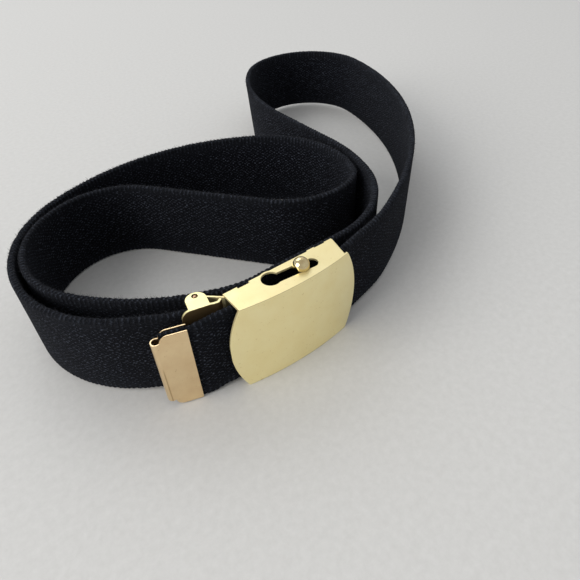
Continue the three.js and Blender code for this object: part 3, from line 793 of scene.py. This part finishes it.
# Where the painted shade line along the tip's crease lies
tip_crease_shade = (free_end + shift + along(tip_heading) * CREASE_PLACE, along(tip_heading), CREASE_REACH)
tip_brass = brass_material(
    "tip_brass",
    light=(0.9, 0.7, 0.42),
    deep=(0.8, 0.58, 0.33),
    roughness=0.32,
    grain=0.25,
    crease_shade=tip_crease_shade,
)
pin_brass = brass_material(
    "pin_brass",
    light=(0.62, 0.4, 0.26),
    deep=(0.38, 0.22, 0.14),
    roughness=0.26,
    grain=0.1,
)


# Webbing


def wander(*place):
    return noise.noise(Vector(place))


def web_section(s, half):
    """The web's outline across its length at distance s, as points of an offset and a height."""

    def loop(side):
        strayed = LOOP_STRAY * wander(s * 0.31, side * 4.1, 1.5)
        turn = 2 * math.pi * (s / LOOP_PITCH + strayed) + (math.pi if side < 0 else 0)
        uneven = LOOP_UNEVENNESS * wander(math.floor(s / LOOP_PITCH) * 3.7, side * 5.3, 0.5)
        return 0.5 - 0.5 * math.cos(turn) + uneven

    def face(side, z):
        fade = 1 - smooth_step(min(z, WEB_WIDTH - z), RIB_FULL_AT, RIB_GONE_AT)
        soft = FACE_SOFTNESS * (1 + wander(s * 0.06, z * 0.12, side * 9.1))
        return side * (half - soft - RIB_DEPTH * fade * max(0, loop(side)))

    def edge(side, end):
        crown = []
        for share, drop in CROWN:
            depth = drop * half + LOOP_DEPTH * max(0, loop(side)) * (0.6 + 0.4 * share)
            height = WEB_WIDTH - depth if end > 0 else depth
            crown.append((side * half * share, height))
        return crown

    points = [(face(1, z), z) for z in FACE_HEIGHTS]
    points += edge(1, 1)
    points.append((0, WEB_WIDTH - 0.5 * LOOP_DEPTH * (0.5 + 0.3 * wander(s * 2.1, 0, 0))))
    points += reversed(edge(-1, 1))
    points += [(face(-1, z), z) for z in reversed(FACE_HEIGHTS)]
    points += edge(-1, -1)
    points.append((0, 0.0))
    points += reversed(edge(1, -1))
    return points


def web_vertices(stations, length):
    exit_length = next(
        d for d, point, _ in stations if d > length / 2 and point.x < HALF_PLATE + WEB_THICKNESS
    )
    in_tip = length - TIP_LENGTH
    vertices = []
    for s, point, heading in stations:
        low = lift_at(s, exit_length, length)
        pressed = smooth_step(s, in_tip - PRESS_RUN, in_tip)
        half = HALF_WEB + (PRESSED_THICKNESS / 2 - HALF_WEB) * pressed
        across = left_of(heading)
        top, foot = lean_at(leans, bends, s)
        for offset, height in web_section(s, half):
            aside = foot + (top - foot) * height / WEB_WIDTH
            place = point + across * (offset + aside) + shift
            vertices.append((place.x, place.y, low + height))
    return vertices


def map_weave(mesh, stations, sides):
    """The weave's UV map: the distance along the web, and the distance round its outline."""
    outline = web_section(LOOP_PITCH / 4, HALF_WEB)
    around = [0.0]
    for a, b in zip(outline, outline[1:] + outline[:1]):
        around.append(around[-1] + math.hypot(b[0] - a[0], b[1] - a[1]))
    start = outline[0][1]
    layer = mesh.uv_layers.new(name="weave")
    for polygon in mesh.polygons:
        if polygon.loop_total != 4:
            continue
        corners = [mesh.loops[i].vertex_index for i in polygon.loop_indices]
        wraps = {v % sides for v in corners} == {0, sides - 1}
        for i, v in zip(polygon.loop_indices, corners):
            k = sides if wraps and v % sides == 0 else v % sides
            s = stations[v // sides][0]
            layer.data[i].uv = (s / UV_UNIT, (start + around[k]) / UV_UNIT)


def make_webbing():
    stations, length = evenly_spaced(route, RING_STEP)
    sides = len(web_section(0, HALF_WEB))
    rings = len(stations)
    faces = []
    for ring in range(rings - 1):
        for k in range(sides):
            n = (k + 1) % sides
            faces.append(
                (ring * sides + k, ring * sides + n, (ring + 1) * sides + n, (ring + 1) * sides + k)
            )
    faces.append(tuple(range(sides)))
    faces.append(tuple(range((rings - 1) * sides, rings * sides)))
    mesh = mesh_from("webbing_cloth", web_vertices(stations, length), faces)
    map_weave(mesh, stations, sides)
    new_piece("webbing_cloth", mesh, canvas, "canvas", "webbing")


make_webbing()


def fibre(root, heading, reach, bend):
    """The vertices of one thin three-sided fibre, from its root to its point."""
    tip = root + heading * reach + bend * reach * FIBRE_BEND
    middle = root + heading * reach * FIBRE_KNEE
    aside = heading.orthogonal().normalized() * FIBRE_WIDTH / 2
    vertices = []
    for place, size in ((root, 1), (middle, FIBRE_THINNING)):
        for k in range(3):
            vertices.append(place + Matrix.Rotation(2 * math.pi * k / 3, 3, heading) @ aside * size)
    return vertices + [tip]


def make_fuzz():
    """Short loose fibres along the web's upper edge."""
    stations, length = evenly_spaced(route, 1 / FIBRES_A_MM)
    exit_length = length - BUCKLE_SPAN
    random.seed(7)
    vertices = []
    faces = []
    for s, point, heading in stations:
        if s < CLAMP_GRIP + CLAMP_MOUTH or s > exit_length:
            continue
        low = lift_at(s, exit_length, length)
        top, _ = lean_at(leans, bends, s)
        out = Vector((*left_of(heading), 0))
        share = random.uniform(-1, 1)
        place = point + left_of(heading) * (share * FIBRE_SPREAD * HALF_WEB + top) + shift
        seat = FIBRE_SEAT + FIBRE_CROWN * share * share
        root = Vector((place.x, place.y, low + WEB_WIDTH - seat))
        direction = Vector((0, 0, random.uniform(*FIBRE_RISE))) + out * share * FIBRE_LEAN_OUT
        direction += Vector((*along(heading), 0)) * random.uniform(*FIBRE_LEAN_ALONG)
        bend = Vector([random.uniform(-1, 1) for _ in range(3)])
        first = len(vertices)
        reach = random.uniform(*FIBRE_LENGTH)
        vertices += fibre(root, direction.normalized(), reach, bend)
        for k in range(3):
            n = (k + 1) % 3
            faces.append((first + k, first + n, first + 3 + n, first + 3 + k))
            faces.append((first + 3 + k, first + 3 + n, first + 6))
        faces.append((first, first + 2, first + 1))
    mesh = mesh_from("edge_fuzz", vertices, faces)
    new_piece("edge_fuzz", mesh, fuzz_material(), "canvas")


make_fuzz()


# Buckle, clamp and tip

rounded_copy("buckle_frame", "buckle_plate", plate_brass, "plate_brass", BUCKLE_ROUNDING)
rounded_copy("web_clamp", "clamp_jaw", clamp_brass, "plate_brass", CLAMP_ROUNDING)
rounded_copy("tip_ferrule", "tip_sheet", tip_brass, "tip_brass", TIP_ROUNDING)


# Pinch bar and hinge pin


def make_bar():
    neck = BUCKLE_HEIGHT + PIECE_GAP
    ball_centre = neck + BAR_BALL_RISE
    profile = [(0, 0), (BAR_RADIUS - BAR_CHAMFER, 0), (BAR_RADIUS, BAR_CHAMFER)]
    profile.append((BAR_RADIUS, neck - BAR_NECK_DROP))
    start = -math.asin((ball_centre - neck) / BAR_BALL_RADIUS)
    for k in range(BALL_STEPS):
        a = start + (math.pi / 2 - start) * k / BALL_STEPS
        profile.append((BAR_BALL_RADIUS * math.cos(a), ball_centre + BAR_BALL_RADIUS * math.sin(a)))
    profile.append((0, ball_centre + BAR_BALL_RADIUS))
    place = bar + shift
    mesh = lathed("pinch_bar_ball", profile, place.x, place.y, BODY_SIDES)
    new_piece("pinch_bar_ball", mesh, bar_brass, "bar_brass", "pinch_bar")


def make_pin():
    profile = [(0, 0), (PIN_RADIUS - PIN_CHAMFER, 0), (PIN_RADIUS, PIN_CHAMFER)]
    profile += [(PIN_RADIUS - inward, BUCKLE_HEIGHT - down) for inward, down in PIN_HEAD]
    profile.append((0, BUCKLE_HEIGHT))
    place = pin + shift
    mesh = lathed("hinge_pin", profile, place.x, place.y, PIN_SIDES)
    new_piece("hinge_pin", mesh, pin_brass, "bar_brass", "clamp_pin")


make_bar()
make_pin()


# Floor, light and camera

floor_corners = [(x * FLOOR_REACH, y * FLOOR_REACH, 0) for x, y in ((-1, -1), (1, -1), (1, 1), (-1, 1))]
floor_mesh = mesh_from("floor", floor_corners, [(0, 1, 2, 3)], smooth=False)
floor = bpy.data.objects.new("floor", floor_mesh)
floor.location.z = -FLOOR_DROP * MM
bpy.context.scene.collection.objects.link(floor)
floor_material, floor_tree, floor_shader = new_material("pale_floor")
floor_place = floor_tree.nodes.new("ShaderNodeTexCoord").outputs["Object"]
paper = noise_node(floor_tree, floor_place, 420, 5, 0.7)
mottled = ramp_node(floor_tree, paper, [(0.3, FLOOR_DARK), (0.7, FLOOR_PALE)])
floor_tree.links.new(mottled, floor_shader.inputs["Base Color"])
floor_shader.inputs["Roughness"].default_value = 0.9
floor_shader.inputs["Specular IOR Level"].default_value = 0.2
floor_mesh.materials.append(floor_material)

world = bpy.data.worlds.new("studio")
world.use_nodes = True
background = world.node_tree.nodes["Background"]
background.inputs["Color"].default_value = (0.95, 0.97, 1.0, 1)
background.inputs["Strength"].default_value = 0.6
bpy.context.scene.world = world


def soft_light(name, place, target, size, power, colour):
    data = bpy.data.lights.new(name, "AREA")
    data.shape = "SQUARE"
    data.size = size
    data.energy = power
    data.color = colour
    light = bpy.data.objects.new(name, data)
    light.location = place
    light.rotation_euler = (Vector(target) - Vector(place)).to_track_quat("-Z", "Y").to_euler()
    bpy.context.scene.collection.objects.link(light)


# The lights' places and sizes are in metres.
soft_light("key", (-1.6, 0.09, 0.8), (0, 0, 0), size=1.25, power=26.0, colour=(1.0, 0.99, 0.97))
soft_light("panel", (0.6, 0.85, 0.94), (0, 0, 0), size=1.2, power=1.6, colour=(1.0, 0.98, 0.95))
soft_light("back", (0.1, 2.2, 1.9), (0.1, 0.6, 0), size=1.8, power=21.0, colour=(0.95, 0.98, 1.0))

camera_data = bpy.data.cameras.new("camera")
camera_data.lens = 31.25
camera_data.sensor_width = 36
camera_data.clip_start = 0.005
camera = bpy.data.objects.new("camera", camera_data)
right = Vector((0.795803, -0.604098, -0.042568)).normalized()
forward = Vector((0.426012, 0.608486, -0.669505)).normalized()
up = right.cross(forward)
turn = Matrix((right, up, -forward)).transposed().to_4x4()
eye = Vector((-68.476, -91.918, 135.286)) + Vector((shift.x, shift.y, 0))
camera.matrix_world = Matrix.Translation(eye * MM) @ turn
bpy.context.scene.collection.objects.link(camera)
bpy.context.scene.camera = camera
bpy.context.scene.view_settings.view_transform = "Standard"
